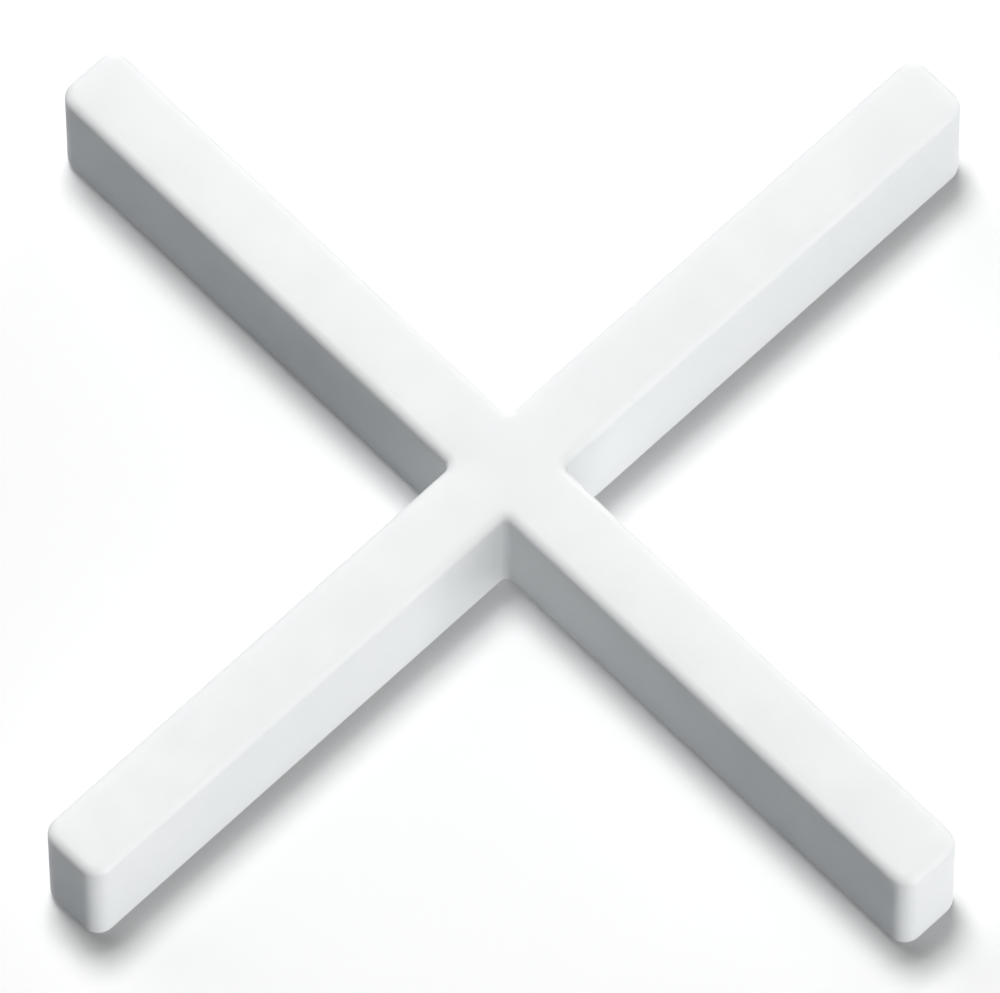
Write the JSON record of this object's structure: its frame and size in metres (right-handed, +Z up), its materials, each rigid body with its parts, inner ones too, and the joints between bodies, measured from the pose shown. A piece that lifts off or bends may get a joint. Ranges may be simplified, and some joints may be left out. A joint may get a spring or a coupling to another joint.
{
  "type": "tile spacer",
  "caption": "Plain moulded plastic cross with rounded edges and arms of equal length, pressed between the corners of neighbouring tiles to keep the joints even.",
  "frame": {"origin": "middle of the underside, where the centre lines of the arms cross", "axes": "+X and +Y each along an arm, +Z up, square to the top. In the mounts' names east is +X, north is +Y, west is -X and south is -Y"},
  "size_m": [0.0304, 0.0304, 0.004],
  "materials": {
    "white_plastic": "satin, as moulded"
  },
  "bodies": {
    "root": {"spacer_cross": "white_plastic"}
  },
  "joints": []
}
